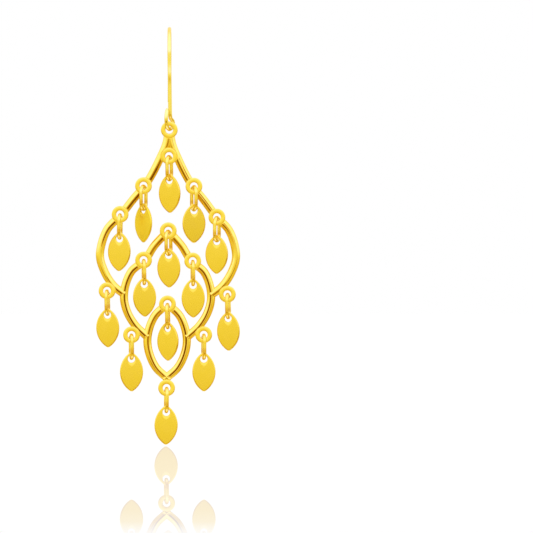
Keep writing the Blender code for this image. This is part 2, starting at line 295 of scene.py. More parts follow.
def swept(name, path, section, sideways, swell=None, is_looped=False):
    """A mesh of the section carried along the path.

    point(i, j) = path(i) + swell(i) * (section(j).across * across(i) + section(j).out * out(i)), where
    across is square to the path and to the fixed direction sideways, and out is square to both. The
    ends of an open path are closed with a flat cap each.
    """
    path = np.array(path, float)
    if is_looped:
        way = np.roll(path, -1, axis=0) - np.roll(path, 1, axis=0)
    else:
        way = np.gradient(path, axis=0)
    way /= np.linalg.norm(way, axis=1)[:, None]
    across = np.cross(sideways, way)
    across /= np.linalg.norm(across, axis=1)[:, None]
    out = np.cross(way, across)
    swell = np.ones(len(path)) if swell is None else swell
    spread = swell[:, None, None] * (
        section[None, :, :1] * across[:, None] + section[None, :, 1:] * out[:, None]
    )
    points = (path[:, None] + spread).reshape(-1, 3)
    faces = grid_quads(len(path), len(section), is_looped).tolist()
    if not is_looped:
        last = len(points) - len(section)
        faces.append(list(range(len(section)))[::-1])
        faces.append(list(range(last, len(points))))
    mesh = bpy.data.meshes.new(name)
    mesh.from_pydata(points, [], faces)
    mesh.shade_smooth()
    return mesh


def arc(centre, radii, start, end, steps):
    """Points from the angle start to the angle end, in quarter turns, on an ellipse."""
    angle = np.linspace(start, end, steps + 1) * math.pi / 2
    return np.array(centre) + np.stack([np.cos(angle), np.sin(angle)], -1) * np.array(radii)


def circle(radius, steps):
    """Points round a whole circle, the first one once."""
    return arc((0, 0), (radius, radius), 0, 4, steps)[:-1]


def limb_section(inset):
    """A limb's section: a flat back with rounded corners, and a half ellipse for the dome.

    It is thinner by inset at the front and at the back, so that no two tiers' faces coincide.
    """
    half = LIMB_W / 2
    back = inset - RING_T / 2
    edge = back + LIMB_EDGE
    rise = LIMB_T - 2 * inset - LIMB_EDGE
    corner = half - LIMB_BACK_ROUND
    return np.vstack([
        arc((0, edge), (half, rise), 0, 2, DOME_STEPS),
        arc((-corner, edge), (LIMB_BACK_ROUND, LIMB_EDGE), 2, 3, CORNER_STEPS)[1:],
        arc((corner, edge), (LIMB_BACK_ROUND, LIMB_EDGE), 3, 4, CORNER_STEPS)[:-1],
    ])


def store_painted_shade(mesh, shares):
    """Stores how much shade is painted at each point, from 0 to 1: on a limb, how deep in a crease it
    lies, and on a link, the shade near its lower end.
    """
    mesh.attributes.new("crease", "FLOAT", "POINT").data.foreach_set("value", shares)


def limb_mesh(name, path, side, section, creases):
    """A limb, swept along its path, with fine creases sunk along its dome.

    A point is sunk by the crease's share there along the limb, by its table, times its weight and the
    bell curve of the distance from its middle over its width. The deepest crease counts. Outward is
    towards the side, -1 for the left half.
    """
    mesh = swept(name, path * (side, 1, 1), section, (0, 0, 1))
    steps = np.linalg.norm(np.diff(path, axis=0), axis=1)
    along = np.append(0, np.cumsum(steps)) / steps.sum()
    sunk = np.zeros((len(path), len(section)))
    for kind, weight in creases:
        rows = np.array(CREASES[kind])
        across, width, share = (
            np.interp(along, rows[:, 0], rows[:, column])[:, None] for column in (1, 2, 3)
        )
        from_middle = (section[None, :, 0] * side - across * LIMB_W / 2) / width
        sunk = np.maximum(sunk, weight * share * np.exp(-(from_middle**2)))
    on_dome = section[:, 1] > section[0, 1]
    sunk *= on_dome
    points = np.zeros(sunk.size * 3)
    mesh.vertices.foreach_get("co", points)
    points[2::3] -= CREASE_DEEP * sunk.ravel()
    mesh.vertices.foreach_set("co", points)
    # The depth in a crease is also how dark the shade painted there is
    store_painted_shade(mesh, sunk.ravel())
    return mesh


def rounded_band(inner, outer, half_t, rounding):
    """The section of a flat ring: a rectangle from inner to outer, with its four corners rounded."""
    low = inner + rounding
    high = outer - rounding
    top = half_t - rounding
    corners = ((high, top, 0), (low, top, 1), (low, -top, 2), (high, -top, 3))
    round_off = (rounding, rounding)
    return np.vstack([arc((x, y), round_off, turn, turn + 1, CORNER_STEPS) for x, y, turn in corners])


def ring_mesh(name, centre):
    """A flat ring: its section carried clockwise round the hole, seen from the front."""
    middle = RING_HOLE_R + RING_RIM / 2
    angle = np.linspace(0, -2 * math.pi, RING_STEPS, endpoint=False)
    path = np.stack([np.cos(angle), np.sin(angle), 0 * angle], -1) * middle + centre
    section = rounded_band(-RING_RIM / 2, RING_RIM / 2, RING_T / 2, RING_ROUND)
    return swept(name, path, section, (0, 0, 1), is_looped=True)


def rod_mesh(name, centre, radius, low, high):
    """A plain round rod square to the frame's plane, from the height low to the height high."""
    ends = np.array([(0, 0, low), (0, 0, high)]) + centre
    return swept(name, ends, circle(radius, RING_STEPS), (1, 0, 0))


def blank(mesh, group):
    """Puts a part that is yet to be joined or cut in its group."""
    group.objects.link(bpy.data.objects.new(mesh.name, mesh))


def joined(name, first, *steps):
    """One mesh made from the first group's objects, and then each step's, by union or difference."""
    work = bpy.data.objects.new(name, bpy.data.meshes.new(name))
    seed = first.objects[0]
    work.data = seed.data
    first.objects.unlink(seed)
    bpy.context.scene.collection.objects.link(work)
    for operation, group in (("UNION", first), *steps):
        modifier = work.modifiers.new(group.name, "BOOLEAN")
        modifier.operation = operation
        modifier.operand_type = "COLLECTION"
        modifier.collection = group
        modifier.solver = "MANIFOLD"
    graph = bpy.context.evaluated_depsgraph_get()
    mesh = bpy.data.meshes.new_from_object(work.evaluated_get(graph))
    for group in (first, *(group for _, group in steps)):
        for obj in list(group.objects):
            bpy.data.objects.remove(obj)
        bpy.data.collections.remove(group)
    bpy.data.objects.remove(work)
    return mesh


def with_flat_faces(mesh):
    """The mesh smooth over its roundings, sharp at its seams, and flat where its large faces are flat."""
    mesh.shade_smooth()
    mesh.set_sharp_from_angle(angle=SHARP_ANGLE)
    work = bpy.data.objects.new(mesh.name, mesh)
    bpy.context.scene.collection.objects.link(work)
    weighted = work.modifiers.new("weighted", "WEIGHTED_NORMAL")
    weighted.keep_sharp = True
    weighted.weight = LARGE_FACE_WEIGHT
    graph = bpy.context.evaluated_depsgraph_get()
    finished = bpy.data.meshes.new_from_object(work.evaluated_get(graph))
    bpy.data.objects.remove(work)
    return finished


def new_group(name):
    """A group for blanks or cutters, which isn't rendered."""
    group = bpy.data.collections.new(name)
    bpy.context.scene.collection.children.link(group)
    group.hide_render = True
    return group


def place_piece(name, mesh, material, body, slot, *nodes):
    """Puts a finished mesh in the scene in the stead of these nodes, riding on that body."""
    mesh.name = name
    mesh.materials.clear()
    mesh.materials.append(material)
    piece = bpy.data.objects.new(name, mesh)
    bpy.context.scene.collection.objects.link(piece)
    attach(piece, body)
    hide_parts(*nodes)
    return piece


# The golds: two close tones in soft clouds, fine hairlines, and painted shade in the creases. The scales
# count clouds or lines to a metre, and the noise that makes them lies nearly all between its low and its
# high.
NOISE_LOW = 0.35
NOISE_HIGH = 0.65
CLOUD_SCALE = 900
CLOUD_DETAIL = 3
SCRATCH_SCALE = 9000
SCRATCH_DETAIL = 2
SCRATCH_SHARE = 0.5
SCRATCH_BUMP = 0.5
SCRATCH_DEEP = 1e-7

# A gold's two tones, its roughness where it is brightest and dullest, and how its scratches are drawn out,
# from near 0 for long hairlines to 1 for specks
GoldFinish = namedtuple("GoldFinish", "pale deep brightest dullest scratch_long")

# What the painted shade leaves of the gold's colour, by how much shade is painted at a point: on a limb,
# how deep in a crease it lies
Tint = namedtuple("Tint", "crease color")
PAINTED_SHADE_TINTS = (
    Tint(0.00, (1, 1, 1)),
    Tint(0.32, (0.78, 0.50, 0.16)),
    Tint(0.75, (0.20, 0.07, 0.01)),
    Tint(1.00, (0.05, 0.025, 0.008)),
)


def wire_nodes(tree, *pairs):
    """Wires each output to its input."""
    for output, target in pairs:
        tree.links.new(output, target)


def set_ramp(node, stops):
    """Gives a colour ramp these stops, each a place from 0 to 1 and its colour.

    The places come first, because the ramp keeps its stops in the order of their places.
    """
    elements = node.color_ramp.elements
    while len(elements) < len(stops):
        elements.new(0.5)
    for element, (place, _) in zip(elements, stops):
        element.position = place
    for element, (_, color) in zip(elements, stops):
        element.color = (*color, 1)


def new_shader_group(name, inputs, outputs):
    """An empty shader node group with these number inputs, as name and default, and outputs."""
    group = bpy.data.node_groups.new(name, "ShaderNodeTree")
    for label, value in inputs.items():
        socket = group.interface.new_socket(label, in_out="INPUT", socket_type="NodeSocketFloat")
        socket.default_value = value
    for label in outputs:
        group.interface.new_socket(label, in_out="OUTPUT", socket_type="NodeSocketFloat")
    return group, group.nodes.new("NodeGroupInput"), group.nodes.new("NodeGroupOutput")


def hand_polish_group():
    """Soft clouds left by hand polishing: a mask from 0 to 1, and a roughness between two values."""
    group, given, result = new_shader_group(
        "hand_polish", {"Scale": CLOUD_SCALE, "Brightest": 0.1, "Dullest": 0.2}, ("Clouds", "Roughness")
    )
    where = group.nodes.new("ShaderNodeTexCoord")
    clouds = group.nodes.new("ShaderNodeTexNoise")
    clouds.inputs["Detail"].default_value = CLOUD_DETAIL
    spread = group.nodes.new("ShaderNodeMapRange")
    spread.inputs["From Min"].default_value = NOISE_LOW
    spread.inputs["From Max"].default_value = NOISE_HIGH
    wire_nodes(
        group,
        (where.outputs["Object"], clouds.inputs["Vector"]),
        (given.outputs["Scale"], clouds.inputs["Scale"]),
        (clouds.outputs["Fac"], spread.inputs["Value"]),
        (given.outputs["Brightest"], spread.inputs["To Min"]),
        (given.outputs["Dullest"], spread.inputs["To Max"]),
        (clouds.outputs["Fac"], result.inputs["Clouds"]),
        (spread.outputs["Result"], result.inputs["Roughness"]),
    )
    return group


def fine_scratches_group():
    """Hairlines of handling and of the polishing wheel: a height, from noise drawn out along Z."""
    group, given, result = new_shader_group(
        "fine_scratches", {"Scale": SCRATCH_SCALE, "Long": 0.05, "Share": SCRATCH_SHARE}, ("Height",)
    )
    where = group.nodes.new("ShaderNodeTexCoord")
    stretch = group.nodes.new("ShaderNodeCombineXYZ")
    drawn_out = group.nodes.new("ShaderNodeVectorMath")
    drawn_out.operation = "MULTIPLY"
    lines = group.nodes.new("ShaderNodeTexNoise")
    lines.inputs["Detail"].default_value = SCRATCH_DETAIL
    keep = group.nodes.new("ShaderNodeMath")
    keep.operation = "MULTIPLY"
    stretch.inputs["X"].default_value = 1
    stretch.inputs["Y"].default_value = 1
    wire_nodes(
        group,
        (given.outputs["Long"], stretch.inputs["Z"]),
        (where.outputs["Object"], drawn_out.inputs[0]),
        (stretch.outputs["Vector"], drawn_out.inputs[1]),
        (drawn_out.outputs["Vector"], lines.inputs["Vector"]),
        (given.outputs["Scale"], lines.inputs["Scale"]),
        (lines.outputs["Fac"], keep.inputs[0]),
        (given.outputs["Share"], keep.inputs[1]),
        (keep.outputs["Value"], result.inputs["Height"]),
    )
    return group


hand_polish = hand_polish_group()
fine_scratches = fine_scratches_group()


def gold(name, finish):
    """A polished yellow gold: two close tones in soft clouds, hairlines, and a clear bright surface."""
    material = bpy.data.materials.new(name)
    material.use_nodes = True
    tree = material.node_tree
    shader = tree.nodes["Principled BSDF"]
    shader.inputs["Metallic"].default_value = 1
    polish = tree.nodes.new("ShaderNodeGroup")
    polish.node_tree = hand_polish
    polish.inputs["Brightest"].default_value = finish.brightest
    polish.inputs["Dullest"].default_value = finish.dullest
    tones = tree.nodes.new("ShaderNodeValToRGB")
    set_ramp(tones, [(NOISE_LOW, finish.deep), (NOISE_HIGH, finish.pale)])
    scratches = tree.nodes.new("ShaderNodeGroup")
    scratches.node_tree = fine_scratches
    scratches.inputs["Long"].default_value = finish.scratch_long
    bump = tree.nodes.new("ShaderNodeBump")
    bump.inputs["Strength"].default_value = SCRATCH_BUMP
    bump.inputs["Distance"].default_value = SCRATCH_DEEP
    wire_nodes(
        tree,
        (polish.outputs["Clouds"], tones.inputs["Fac"]),
        (tones.outputs["Color"], shader.inputs["Base Color"]),
        (polish.outputs["Roughness"], shader.inputs["Roughness"]),
        (scratches.outputs["Height"], bump.inputs["Height"]),
        (bump.outputs["Normal"], shader.inputs["Normal"]),
    )
    return material


def blended(tree, kind, share, first, second):
    """Two colours blended in this kind of way, each input a socket or a fixed value.

    A colour blend has its share, its two colours and its result in the sockets 0, 6, 7 and 2.
    """
    node = tree.nodes.new("ShaderNodeMix")
    node.data_type = "RGBA"
    node.blend_type = kind
    for socket, value in ((node.inputs[0], share), (node.inputs[6], first), (node.inputs[7], second)):
        if isinstance(value, bpy.types.NodeSocket):
            tree.links.new(value, socket)
        else:
            socket.default_value = value
    return node.outputs[2]


def with_painted_shade(material):
    """Darkens the gold by the shade painted on its points: in the creases of the limbs, and near the lower
    ends of the links.
    """
    tree = material.node_tree
    shader = tree.nodes["Principled BSDF"]
    bare = shader.inputs["Base Color"].links[0].from_socket
    crease = tree.nodes.new("ShaderNodeAttribute")
    crease.attribute_name = "crease"
    tints = tree.nodes.new("ShaderNodeValToRGB")
    set_ramp(tints, [(tint.crease, tint.color) for tint in PAINTED_SHADE_TINTS])
    # The gold's colour darkened by the painted shade
    painted_dark = blended(tree, "MULTIPLY", 1, bare, tints.outputs["Color"])
    wire_nodes(
        tree,
        (crease.outputs["Fac"], tints.inputs["Fac"]),
        (painted_dark, shader.inputs["Base Color"]),
    )
    return material


# The tiers, from the lower one up, because each stands with its foot on the next
middle_top = APEX_RING_DOWN + HANG + RING_R + MIDDLE_TIER_GAP
lower_top = middle_top + HANG + RING_R + LOWER_TIER_GAP
lower = Tier(lower_top, HANG + POINT_GAP, DROP_W / 2 + CENTRE_BAY_GAP + LIMB_W / 2)
middle_foot = (lower.half_width, -lower.top - lower.height * ON_LOWER_TIER)
middle = Tier(middle_top, -middle_foot[1] - middle_top, bay_half_width(INNER_RING_OUT, INNER_BAY_GAP))
upper_foot = (middle.half_width, -middle.top - middle.height * ON_MIDDLE_TIER)
upper = Tier(0, -upper_foot[1], bay_half_width(SHOULDER_RING_OUT, SHOULDER_BAY_GAP))

limbs = {
    "upper": limb_path(upper, UPPER_SHAPE, upper_foot),
    "middle": limb_path(middle, MIDDLE_SHAPE, middle_foot),
    "lower": limb_path(lower, LOWER_SHAPE),
}

# The rings on the axis, from the top down, and then those on the limbs
ring_centres = [
    np.array((0, -down, 0))
    for down in (0, APEX_RING_DOWN, middle.top, lower.top, lower.top + lower.height + BELOW_POINT)
]
for ring in LIMB_RINGS:
    ring_centres.append(beside(limbs[ring.limb], ring.along, ring.off) * (ring.side, 1, 1))

# The lower limb runs on past the axis by POINT_PAST of its width, so that its two halves meet in a point
way = limbs["lower"][-1] - limbs["lower"][-2]
past_point = limbs["lower"][-1] + way / np.linalg.norm(way) * LIMB_W * POINT_PAST
limbs["lower"] = np.vstack([limbs["lower"], past_point])

# The limbs are joined and cut clear where the rings go, and the rings are then joined to them
limb_blanks = new_group("limb_blanks")
facing_cutters = new_group("facing_cutters")
ring_blanks = new_group("ring_blanks")
for step, (tier_name, path) in enumerate(limbs.items(), 1):
    for side in (-1, 1):
        section = limb_section(step * TIER_STEP)
        creases = LIMB_CREASES[tier_name, side]
        blank(limb_mesh(f"limb_{tier_name}", path, side, section, creases), limb_blanks)
face = RING_T / 2 - RING_PROUD
for number, centre in enumerate(ring_centres):
    blank(rod_mesh(f"facing_{number}", centre, RING_R + RING_PROUD, face, LIMB_T), facing_cutters)
    blank(rod_mesh(f"core_{number}", centre, RING_HOLE_R + RING_LAP, -RING_T, RING_T), facing_cutters)
    blank(ring_mesh(f"ring_{number}", centre), ring_blanks)
frame_mesh = joined(
    "polished_frame", limb_blanks, ("DIFFERENCE", facing_cutters), ("UNION", ring_blanks)
)
upright = Matrix.Rotation(math.pi / 2, 4, "X")
lean = Matrix.Rotation(FRAME_LEAN, 4, "Y")
frame_mesh.transform(Matrix.Translation(EYE_BOTTOM - TOP_RING_DOWN) @ lean @ upright)
frame_mesh = with_flat_faces(frame_mesh)

FRAME_FINISH = GoldFinish(
    pale=(0.96, 0.75, 0.17), deep=(0.93, 0.70, 0.13), brightest=0.06, dullest=0.12, scratch_long=0.3
)
# The frame's gold has shade painted in its creases
FRAME_GOLD = with_painted_shade(gold("frame_gold_polished", FRAME_FINISH))
place_piece(
    "polished_frame", frame_mesh, FRAME_GOLD, "chandelier", "frame_gold", "chandelier_frame"
)


# The fourteen links. Each real one is a ring of round wire, pressed oval after it was threaded through
# its ring and its drop, with a hairline seam where the wire's ends meet. It is left a little less bright
# than the frame, and shade is painted on it near its lower end, where its drop hangs.
LINK_WIRE_R = 0.00033
LINK_HALF_W = 0.00105
LINK_H = 0.00415
LINK_END_STEPS = 18
LINK_SIDE_STEPS = 7
LINK_WIRE_STEPS = 14

# A link's painted shade: its share at the most, how far up from the link's middle that is, and its spread
LINK_PAINTED_SHADE = 0.23
LINK_PAINTED_SHADE_UP = -0.00075
LINK_PAINTED_SHADE_SPREAD = 0.00045

# The corners of a node are told apart to this many digits of a metre
CORNER_DIGITS = 7


def link_mesh(name):
    """An oval link in its own YZ plane, its middle at the origin: two half rounds and two straights.

    Its painted shade is the bell curve of the distance up or down from where it is darkest over its
    spread.
    """
    half_straight = LINK_H / 2 - LINK_HALF_W
    top = arc((0, half_straight), (LINK_HALF_W, LINK_HALF_W), 0, 2, LINK_END_STEPS)
    bottom = arc((0, -half_straight), (LINK_HALF_W, LINK_HALF_W), 2, 4, LINK_END_STEPS)
    sides = np.linspace(0, 1, LINK_SIDE_STEPS + 1)[1:-1, None]
    left = top[-1] + sides * (bottom[0] - top[-1])
    right = bottom[-1] + sides * (top[0] - bottom[-1])
    loop = np.vstack([top, left, bottom, right])
    path = np.column_stack([np.zeros(len(loop)), loop])
    mesh = swept(name, path, circle(LINK_WIRE_R, LINK_WIRE_STEPS), (1, 0, 0), is_looped=True)
    # Shade painted near the link's lower end
    painted_dark = LINK_PAINTED_SHADE * np.exp(-(((loop[:, 1] - LINK_PAINTED_SHADE_UP) / LINK_PAINTED_SHADE_SPREAD) ** 2))
    store_painted_shade(mesh, np.repeat(painted_dark, LINK_WIRE_STEPS))
    return mesh


def place_of(node):
    """A node's own place: its middle, and its directions across its face, along its length and up.

    They are the directions in which its corners spread least, more and most.
    """
    vertices = frame["nodes"][node].data.vertices
    corners = np.zeros(len(vertices) * 3, np.float32)
    vertices.foreach_get("co", corners)
    corners = np.unique(np.round(corners.reshape(-1, 3).astype(float), CORNER_DIGITS), axis=0)
    middle = corners.mean(axis=0)
    directions = np.linalg.svd(corners - middle, full_matrices=False)[2][::-1].copy()
    directions[0] *= -1 if directions[0, 1] > 0 else 1
    directions[2] *= -1 if directions[2, 2] < 0 else 1
    directions[1] = np.cross(directions[2], directions[0])
    spans = (corners - middle) @ directions.T
    middle = middle + (spans.min(axis=0) + spans.max(axis=0)) / 2 @ directions
    place = Matrix(directions.T.tolist()).to_4x4()
    place.translation = middle
    return place


LINK_FINISH = GoldFinish(
    pale=(0.96, 0.77, 0.22), deep=(0.93, 0.70, 0.14), brightest=0.08, dullest=0.14, scratch_long=0.3
)
# The links' gold has shade painted near their lower ends
LINK_GOLD = with_painted_shade(gold("link_gold_polished", LINK_FINISH))

PLACES = [node[len("link_"):] for node in frame["nodes"] if node.startswith("link_")]
for hung_at in PLACES:
    mesh = link_mesh(f"polished_link_{hung_at}")
    mesh.transform(place_of(f"link_{hung_at}"))
    place_piece(mesh.name, mesh, LINK_GOLD, "chandelier", "link_gold", f"link_{hung_at}")


# The fourteen drops. Each real one is a small marquise of thin gold sheet, pierced near its top, its
# face very slightly cushioned and its rim bevelled, polished up and down.
DROP_T = 0.00046
DROP_TIP_R = 0.00050
DROP_RIM = 0.00054
DROP_HOLE_R = 0.00067
DROP_BEVEL_W = 0.00017
DROP_CUSHION = 0.00004
DROP_SIDE_STEPS = 40
DROP_TIP_STEPS = 10

# The rounds of points over a drop's face, as shares of the way from its rim to the hole's lip: the first
# three lie close together, so that the bevel's edge stays crisp, and the rest are even from the third on
DROP_FACE_FIRST = (0, 0.02, 0.05)
DROP_FACE_STEPS = 8

# The drop's rim, from its edge in: the way in as a share of the bevel's width, and the height as a share
# of half the thickness
RimPoint = namedtuple("RimPoint", "inward height")
DROP_RIM_SHAPE = (
    RimPoint(0.00, 0.45),
    RimPoint(0.07, 0.60),
    RimPoint(0.18, 0.71),
    RimPoint(0.22, 0.735),
    RimPoint(0.82, 0.955),
    RimPoint(0.88, 0.972),
    RimPoint(1.00, 0.985),
)

# The hole's rounded lip, from the face in: the radius as a share of the hole's, and the height as above
LipPoint = namedtuple("LipPoint", "out height")
DROP_LIP_SHAPE = (
    LipPoint(1.07, 0.985),
    LipPoint(1.03, 0.93),
    LipPoint(1.00, 0.80),
)


def marquise(inset):
    """A marquise's outline, this far inside the drop's edge.

    Two arcs of one radius bound it, and a small arc tangent to both rounds each tip.
    """
    half_w = DROP_W / 2
    to_tip = DROP_L / 2 - DROP_TIP_R
    side_r = (to_tip**2 + half_w**2 - DROP_TIP_R**2) / (2 * (half_w - DROP_TIP_R))
    reach = math.atan2(to_tip, side_r - half_w) / (math.pi / 2)
    sides = (side_r - inset, side_r - inset)
    tips = (DROP_TIP_R - inset, DROP_TIP_R - inset)
    return np.vstack([
        arc((half_w - side_r, 0), sides, -reach, reach, DROP_SIDE_STEPS),
        arc((0, to_tip), tips, reach, 2 - reach, DROP_TIP_STEPS)[1:],
        arc((side_r - half_w, 0), sides, 2 - reach, 2 + reach, DROP_SIDE_STEPS)[1:],
        arc((0, -to_tip), tips, 2 + reach, 4 - reach, DROP_TIP_STEPS)[1:-1],
    ])


def drop_mesh(name):
    """A drop standing in its own YZ plane, its middle at the origin and its face towards +X.

    Rounds of points run from the rim's side over the bevel and across the face to the hole, and back over
    the other face. The height falls by the square of the distance up or down from the drop's middle.
    """
    edge = marquise(0)
    hole_up = DROP_L / 2 - DROP_RIM - DROP_HOLE_R
    towards = edge - (0, hole_up)
    turn = np.arctan2(towards[:, 1], towards[:, 0])
    hole = np.stack([np.cos(turn), np.sin(turn)], -1) * DROP_HOLE_R + (0, hole_up)
    rim = [(marquise(DROP_BEVEL_W * point.inward), point.height) for point in DROP_RIM_SHAPE]
    lip = [((hole - (0, hole_up)) * point.out + (0, hole_up), point.height) for point in DROP_LIP_SHAPE]
    rim_inside, face_height = rim[-1]
    lip_outside = lip[0][0]
    shares = np.append(DROP_FACE_FIRST[:-1], np.linspace(DROP_FACE_FIRST[-1], 1, DROP_FACE_STEPS))
    face = [(rim_inside + (lip_outside - rim_inside) * share, face_height) for share in shares]
    front = []
    for outline, height_share in rim[:-1] + face + lip[1:]:
        sag = DROP_CUSHION * (outline[:, 1] / (DROP_L / 2)) ** 2
        front.append(np.column_stack([DROP_T / 2 * height_share - sag, outline]))
    back = [layer * (-1, 1, 1) for layer in front[::-1]]
    points = np.stack(front + back)
    rows, columns = points.shape[:2]
    faces = grid_quads(rows, columns, True)
    mesh = bpy.data.meshes.new(name)
    mesh.from_pydata(points.reshape(-1, 3), [], faces.tolist())
    mesh.shade_smooth()
    return mesh


DROP_FINISH = GoldFinish(
    pale=(0.90, 0.66, 0.090), deep=(0.88, 0.645, 0.082), brightest=0.16, dullest=0.20, scratch_long=0.02
)
DROP_GOLD = gold("drop_gold_polished", DROP_FINISH)

# The upper left drop, turned the most, is polished less bright, so that it shows the frame beside it as a
# soft tone
SATIN_FINISH = GoldFinish(
    pale=(0.90, 0.70, 0.066), deep=(0.88, 0.68, 0.060), brightest=0.30, dullest=0.34, scratch_long=0.02
)
SATIN_GOLD = gold("drop_gold_satin", SATIN_FINISH)

for hung_at in PLACES:
    mesh = drop_mesh(f"polished_drop_{hung_at}")
    mesh.transform(place_of(f"drop_{hung_at}"))
    finish = SATIN_GOLD if hung_at == "upper_left" else DROP_GOLD
    place_piece(mesh.name, mesh, finish, "chandelier", "drop_gold", f"drop_{hung_at}")

# These two hang close beside the upper left drop, which is turned towards them, and cast no mirror image
for kind in ("link", "drop"):
    bpy.data.objects[f"polished_{kind}_shoulder_left"].visible_glossy = False


# The ear hook. The real one is a single round wire, bent over a rod for its arch and round the frame's
# top ring for its eye. Its tail is rounded so that it passes through the ear, and the eye's end tapers.
HOOK_WIRE_R = 0.000345
ARCH_UP = 0.00034
ARCH_R = 0.00450
TAIL_DROP = 0.01300
TAIL_FLICK = 0.00055
SHANK_SWAY = 0.00014
SHANK_BULGE = 0.00011
SHANK_BULGE_DOWN = 0.0080
SHANK_BULGE_SPREAD = 0.0011
EYE_H = 0.00220
EYE_HALF_W = 0.00107
EYE_TURN = math.radians(24)
ARCH_STEPS = 64
HOOK_STEP = 0.00018
HOOK_WIRE_STEPS = 22
TAIL_POINTS = 40
SHANK_POINTS = 90

# How far from the wire's ends their rounding and taper start, and the share of the width left at the ends
TAIL_END = 0.00034
EYE_END = 0.00120
END_BLUNT = 0.05

# The flick at the tail's end: the shares of the tail's drop and of the flick
Flick = namedtuple("Flick", "down back")
TAIL_SHAPE = (
    Flick(1.00, 1.00),
    Flick(0.86, 0.35),
    Flick(0.70, 0.00),
)

# The wire round the eye, from the shank on: its way up from the bottom as a share of the eye's height, and
# forward and a little to the left as a share of the eye's half width
EyePoint = namedtuple("EyePoint", "up forward")
EYE_SHAPE = (
    EyePoint(1.40, 0.00),
    EyePoint(1.08, -0.08),
    EyePoint(0.88, -0.60),
    EyePoint(0.70, -1.30),
    EyePoint(0.46, -1.60),
    EyePoint(0.20, -1.20),
    EyePoint(0.04, -0.55),
    EyePoint(0.00, 0.00),
    EyePoint(0.07, 0.55),
    EyePoint(0.36, 1.06),
    EyePoint(0.80, 1.24),
    EyePoint(1.30, 1.12),
    EyePoint(1.73, 0.90),
)


def hook_path():
    """The wire from the end of its tail, over the arch, down the shank and round the eye.

    The arch is half a round, and the tail and the shank go straight down from it. The shank swells to the
    front by the bell curve of the distance down from its bulge over the bulge's spread.
    """
    tail = curve_through(
        [(0, ARCH_R + TAIL_FLICK * row.back, -TAIL_DROP * row.down) for row in TAIL_SHAPE], HOOK_STEP
    )
    arch = arc((0, ARCH_UP - ARCH_R), (ARCH_R, ARCH_R), 0, 2, ARCH_STEPS)
    arch = np.column_stack([np.zeros(len(arch)), arch])
    forward_left = np.array((-math.sin(EYE_TURN), -math.cos(EYE_TURN), 0))
    eye = [
        np.array(EYE_BOTTOM) + forward_left * EYE_HALF_W * row.forward + np.array((0, 0, EYE_H * row.up))
        for row in EYE_SHAPE
    ]
    eye[0][0] += SHANK_SWAY
    eye[1][0] += SHANK_SWAY
    up_tail = np.linspace(tail[-1], arch[0], TAIL_POINTS)[1:-1]
    down_shank = np.linspace(arch[-1], eye[0], SHANK_POINTS)[1:-1]
    away = (down_shank[:, 2] + SHANK_BULGE_DOWN) / SHANK_BULGE_SPREAD
    down_shank[:, 1] -= SHANK_BULGE * np.exp(-(away**2))
    return np.vstack([tail, up_tail, arch, down_shank, curve_through(eye, HOOK_STEP)])


def end_rounding(path, tail_end, eye_end):
    """The wire's share of its full width: the root of one less the square of the way to each end."""
    so_far = np.append(0, np.cumsum(np.linalg.norm(np.diff(path, axis=0), axis=1)))
    from_tail = np.clip(so_far / tail_end, 0, 1)
    from_eye = np.clip((so_far[-1] - so_far) / eye_end, 0, 1)
    rounded = np.sqrt(1 - (1 - from_tail) ** 2) * np.sqrt(1 - (1 - from_eye) ** 2)
    return np.maximum(rounded, END_BLUNT)


path = hook_path()
mesh = swept(
    "polished_hook", path, circle(HOOK_WIRE_R, HOOK_WIRE_STEPS), (1, 0, 0),
    swell=end_rounding(path, TAIL_END, EYE_END),
)
HOOK_FINISH = GoldFinish(
    pale=(0.96, 0.80, 0.31), deep=(0.94, 0.76, 0.24), brightest=0.08, dullest=0.14, scratch_long=0.1
)
HOOK_GOLD = gold("hook_gold_polished", HOOK_FINISH)
place_piece("polished_hook", mesh, HOOK_GOLD, "hook", "hook_gold", "ear_hook")


# The studio: a pale polished floor just under the lowest drop, and light all round that is white above,
# warm and dimmer below, with a darker low band where the lit table ends.

# The floor's gap under the lowest drop, its half size and gloss, and from where to where its mirror fades
FLOOR_GAP = 0.00015
FLOOR_HALF = 8.0
FLOOR_IOR = 1.45
MIRROR_START = 0.0
MIRROR_END = -1.00

# How much of the floor's gloss is left, by the share of the way from the end of its mirror to the start
Mirror = namedtuple("Mirror", "place share")
MIRRORS = (
    Mirror(0.00, 0.05),
    Mirror(0.05, 0.18),
    Mirror(0.10, 0.33),
    Mirror(0.20, 0.40),
    Mirror(1.00, 0.46),
)

floor_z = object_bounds()[0][2] - FLOOR_GAP
corners = [(x * FLOOR_HALF, y * FLOOR_HALF, floor_z) for x, y in ((-1, -1), (1, -1), (1, 1), (-1, 1))]
floor_mesh = bpy.data.meshes.new("floor")
floor_mesh.from_pydata(corners, [], [(0, 1, 2, 3)])
floor = bpy.data.objects.new("floor", floor_mesh)
bpy.context.scene.collection.objects.link(floor)
floor.visible_glossy = False


